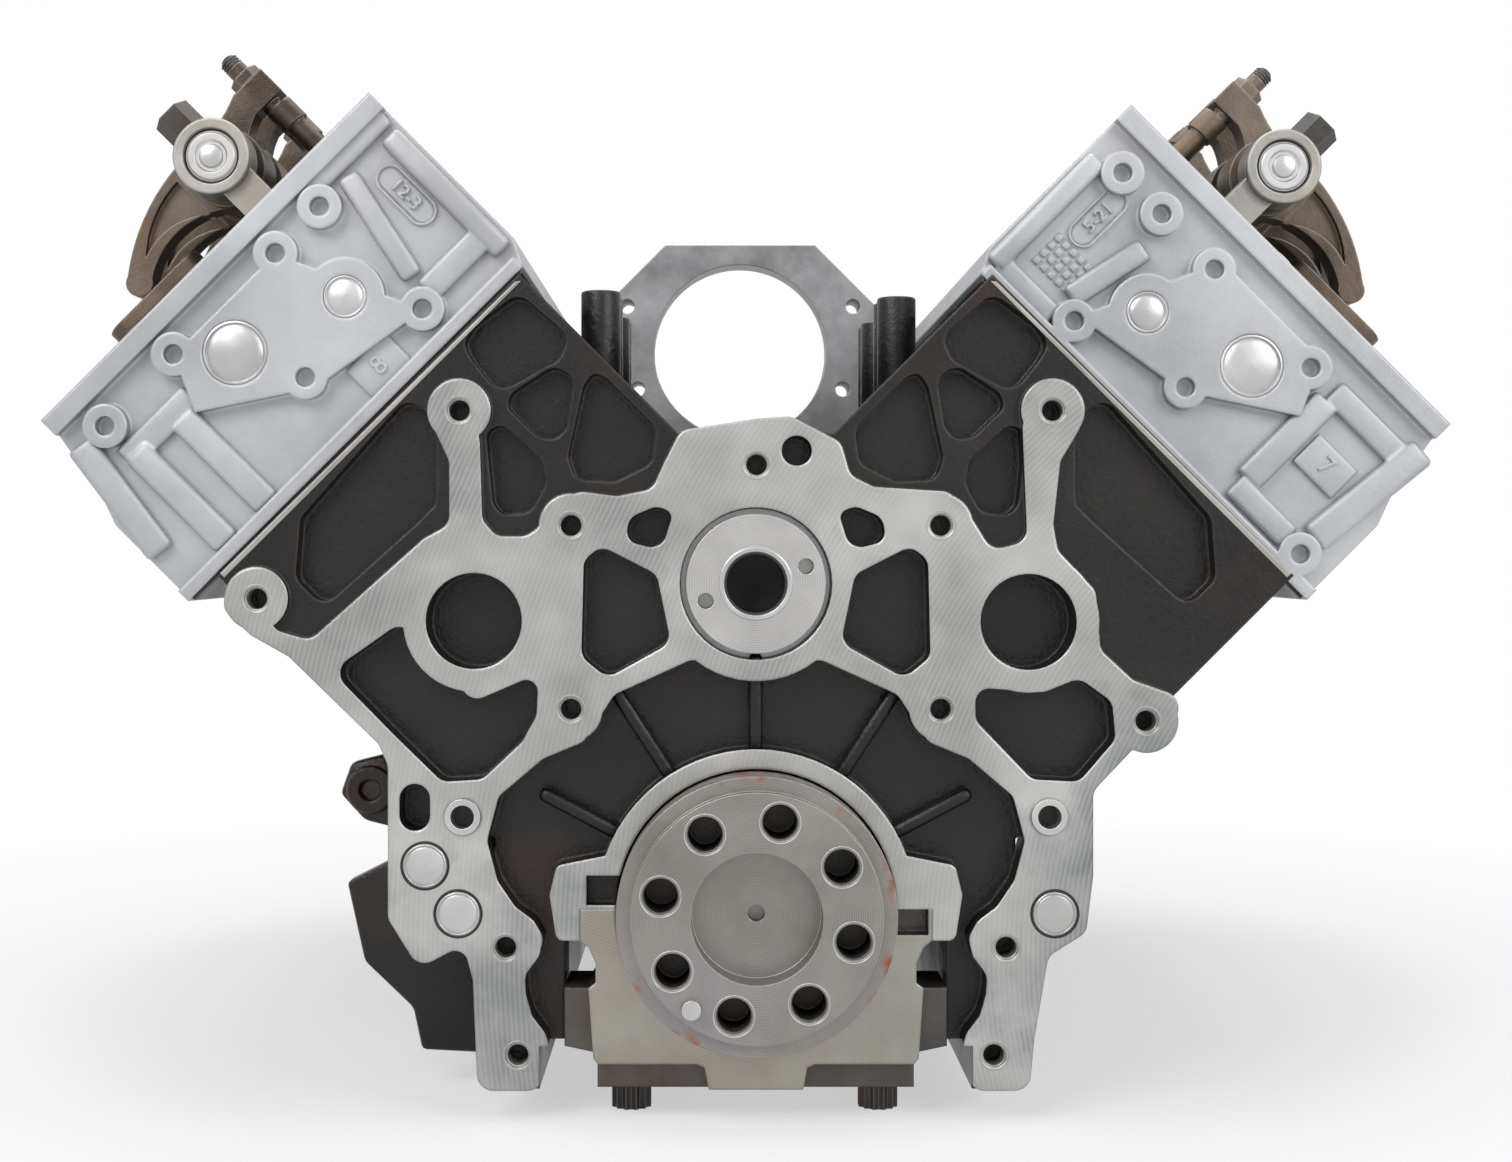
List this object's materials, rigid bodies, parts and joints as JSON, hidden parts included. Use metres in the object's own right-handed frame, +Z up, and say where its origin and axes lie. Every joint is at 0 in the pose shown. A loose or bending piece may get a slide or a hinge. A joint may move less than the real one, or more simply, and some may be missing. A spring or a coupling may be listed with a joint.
{
  "type": "v8 engine long block",
  "caption": "Overhead-valve V8 long block with open rocker gear, crank, cam, pistons and timing gears.",
  "frame": {"origin": "centre of the crank flange's rear face", "axes": "+Y along the crank axis towards the front of the engine, +Z up, +X to the right from the rear"},
  "size_m": [0.6102, 0.626, 0.4623],
  "materials": {
    "block_iron": "satin",
    "bolt_steel": "satin",
    "bearing_metal": "satin",
    "plug_steel": "satin",
    "cover_aluminium": "satin",
    "seal_rubber": "matte",
    "head_aluminium": "satin",
    "gasket_steel": "satin",
    "shaft_steel": "satin",
    "stand_iron": "satin",
    "crank_steel": "satin",
    "gear_steel": "satin",
    "cam_steel": "satin",
    "piston_aluminium": "satin",
    "valve_steel": "satin",
    "rocker_iron": "satin",
    "spring_steel": "satin",
    "pushrod_steel": "satin"
  },
  "bodies": {
    "block": {"cylinder_block": "block_iron", "rear_main_cap": "block_iron", "main_caps": "block_iron", "main_cap_bolts": "bolt_steel", "main_bearings": "bearing_metal", "cam_bearings": "bearing_metal", "rear_core_plugs": "plug_steel", "dowel_sleeves": "plug_steel", "front_cover": "cover_aluminium", "crank_front_seal": "seal_rubber", "head_left": "head_aluminium", "head_right": "head_aluminium", "head_gasket_left": "gasket_steel", "head_gasket_right": "gasket_steel", "head_bolts": "bolt_steel", "head_plugs": "plug_steel", "rocker_shaft_left": "shaft_steel", "rocker_shaft_right": "shaft_steel", "rocker_stands_left": "stand_iron", "rocker_stands_right": "stand_iron", "stand_bolts": "bolt_steel"},
    "crank": {"crankshaft": "crank_steel", "crank_gear": "gear_steel", "flange_dowel": "plug_steel"},
    "cam": {"camshaft": "cam_steel", "cam_gear": "gear_steel"},
    "piston_left_1": {"piston_left_1": "piston_aluminium"},
    "piston_left_2": {"piston_left_2": "piston_aluminium"},
    "piston_left_3": {"piston_left_3": "piston_aluminium"},
    "piston_left_4": {"piston_left_4": "piston_aluminium"},
    "piston_right_1": {"piston_right_1": "piston_aluminium"},
    "piston_right_2": {"piston_right_2": "piston_aluminium"},
    "piston_right_3": {"piston_right_3": "piston_aluminium"},
    "piston_right_4": {"piston_right_4": "piston_aluminium"},
    "rockers_left_intake": {"rockers_left_intake": "rocker_iron"},
    "valves_left_intake": {"valves_left_intake": "valve_steel", "valve_bridges_left_intake": "rocker_iron", "valve_springs_left_intake": "spring_steel"},
    "pushrods_left_intake": {"pushrods_left_intake": "pushrod_steel"},
    "rockers_left_exhaust": {"rockers_left_exhaust": "rocker_iron"},
    "valves_left_exhaust": {"valves_left_exhaust": "valve_steel", "valve_bridges_left_exhaust": "rocker_iron", "valve_springs_left_exhaust": "spring_steel"},
    "pushrods_left_exhaust": {"pushrods_left_exhaust": "pushrod_steel"},
    "rockers_right_intake": {"rockers_right_intake": "rocker_iron"},
    "valves_right_intake": {"valves_right_intake": "valve_steel", "valve_bridges_right_intake": "rocker_iron", "valve_springs_right_intake": "spring_steel"},
    "pushrods_right_intake": {"pushrods_right_intake": "pushrod_steel"},
    "rockers_right_exhaust": {"rockers_right_exhaust": "rocker_iron"},
    "valves_right_exhaust": {"valves_right_exhaust": "valve_steel", "valve_bridges_right_exhaust": "rocker_iron", "valve_springs_right_exhaust": "spring_steel"},
    "pushrods_right_exhaust": {"pushrods_right_exhaust": "pushrod_steel"}
  },
  "joints": [
    {"name": "crank_spin", "type": "hinge", "parent": "block", "child": "crank", "pos_m": [0, 0, 0], "axis": [0, 1, 0], "continuous": true},
    {"name": "cam_spin", "type": "hinge", "parent": "block", "child": "cam", "pos_m": [0, 0, 0.138], "axis": [0, 1, 0], "continuous": true},
    {"name": "piston_left_1_slide", "type": "slide", "parent": "block", "child": "piston_left_1", "axis": [0.7071, 0, -0.7071], "range_m": [-0.0183, 0.0807]},
    {"name": "piston_left_2_slide", "type": "slide", "parent": "block", "child": "piston_left_2", "axis": [0.7071, 0, -0.7071], "range_m": [-0.0883, 0.0107]},
    {"name": "piston_left_3_slide", "type": "slide", "parent": "block", "child": "piston_left_3", "axis": [0.7071, 0, -0.7071], "range_m": [-0.0183, 0.0807]},
    {"name": "piston_left_4_slide", "type": "slide", "parent": "block", "child": "piston_left_4", "axis": [0.7071, 0, -0.7071], "range_m": [-0.0883, 0.0107]},
    {"name": "piston_right_1_slide", "type": "slide", "parent": "block", "child": "piston_right_1", "axis": [-0.7071, 0, -0.7071], "range_m": [-0.0183, 0.0807]},
    {"name": "piston_right_2_slide", "type": "slide", "parent": "block", "child": "piston_right_2", "axis": [-0.7071, 0, -0.7071], "range_m": [-0.0183, 0.0807]},
    {"name": "piston_right_3_slide", "type": "slide", "parent": "block", "child": "piston_right_3", "axis": [-0.7071, 0, -0.7071], "range_m": [-0.0883, 0.0107]},
    {"name": "piston_right_4_slide", "type": "slide", "parent": "block", "child": "piston_right_4", "axis": [-0.7071, 0, -0.7071], "range_m": [-0.0883, 0.0107]},
    {"name": "rockers_left_intake_pivot", "type": "hinge", "parent": "block", "child": "rockers_left_intake", "pos_m": [-0.23441, 0.3, 0.32209], "axis": [0, -1, 0], "range_deg": [0, 8.5], "stiffness_Nm_per_rad": 40, "springref_deg": -11.46},
    {"name": "valves_left_intake_slide", "type": "slide", "parent": "block", "child": "valves_left_intake", "axis": [0.7071, 0, -0.7071], "range_m": [0, 0.0097], "deforming": ["valve_springs_left_intake"]},
    {"name": "pushrods_left_intake_slide", "type": "slide", "parent": "block", "child": "pushrods_left_intake", "axis": [-0.7071, 0, 0.7071], "range_m": [0, 0.0046]},
    {"name": "rockers_left_exhaust_pivot", "type": "hinge", "parent": "block", "child": "rockers_left_exhaust", "pos_m": [-0.23441, 0.3, 0.32209], "axis": [0, -1, 0], "range_deg": [0, 8.5], "stiffness_Nm_per_rad": 40, "springref_deg": -11.46},
    {"name": "valves_left_exhaust_slide", "type": "slide", "parent": "block", "child": "valves_left_exhaust", "axis": [0.7071, 0, -0.7071], "range_m": [0, 0.0097], "deforming": ["valve_springs_left_exhaust"]},
    {"name": "pushrods_left_exhaust_slide", "type": "slide", "parent": "block", "child": "pushrods_left_exhaust", "axis": [-0.7071, 0, 0.7071], "range_m": [0, 0.0046]},
    {"name": "rockers_right_intake_pivot", "type": "hinge", "parent": "block", "child": "rockers_right_intake", "pos_m": [0.23441, 0.3, 0.32209], "axis": [0, 1, 0], "range_deg": [0, 8.5], "stiffness_Nm_per_rad": 40, "springref_deg": -11.46},
    {"name": "valves_right_intake_slide", "type": "slide", "parent": "block", "child": "valves_right_intake", "axis": [-0.7071, 0, -0.7071], "range_m": [0, 0.0097], "deforming": ["valve_springs_right_intake"]},
    {"name": "pushrods_right_intake_slide", "type": "slide", "parent": "block", "child": "pushrods_right_intake", "axis": [0.7071, 0, 0.7071], "range_m": [0, 0.0046]},
    {"name": "rockers_right_exhaust_pivot", "type": "hinge", "parent": "block", "child": "rockers_right_exhaust", "pos_m": [0.23441, 0.3, 0.32209], "axis": [0, 1, 0], "range_deg": [0, 8.5], "stiffness_Nm_per_rad": 40, "springref_deg": -11.46},
    {"name": "valves_right_exhaust_slide", "type": "slide", "parent": "block", "child": "valves_right_exhaust", "axis": [-0.7071, 0, -0.7071], "range_m": [0, 0.0097], "deforming": ["valve_springs_right_exhaust"]},
    {"name": "pushrods_right_exhaust_slide", "type": "slide", "parent": "block", "child": "pushrods_right_exhaust", "axis": [0.7071, 0, 0.7071], "range_m": [0, 0.0046]}
  ],
  "couplings": [
    {"joint": "cam_spin", "follows": "crank_spin", "ratio": -0.5},
    {"joint": "valves_left_intake_slide", "follows": "rockers_left_intake_pivot", "m_per_rad": 0.0645},
    {"joint": "pushrods_left_intake_slide", "follows": "rockers_left_intake_pivot", "m_per_rad": 0.03},
    {"joint": "valves_left_exhaust_slide", "follows": "rockers_left_exhaust_pivot", "m_per_rad": 0.0645},
    {"joint": "pushrods_left_exhaust_slide", "follows": "rockers_left_exhaust_pivot", "m_per_rad": 0.03},
    {"joint": "valves_right_intake_slide", "follows": "rockers_right_intake_pivot", "m_per_rad": 0.0645},
    {"joint": "pushrods_right_intake_slide", "follows": "rockers_right_intake_pivot", "m_per_rad": 0.03},
    {"joint": "valves_right_exhaust_slide", "follows": "rockers_right_exhaust_pivot", "m_per_rad": 0.0645},
    {"joint": "pushrods_right_exhaust_slide", "follows": "rockers_right_exhaust_pivot", "m_per_rad": 0.03}
  ]
}
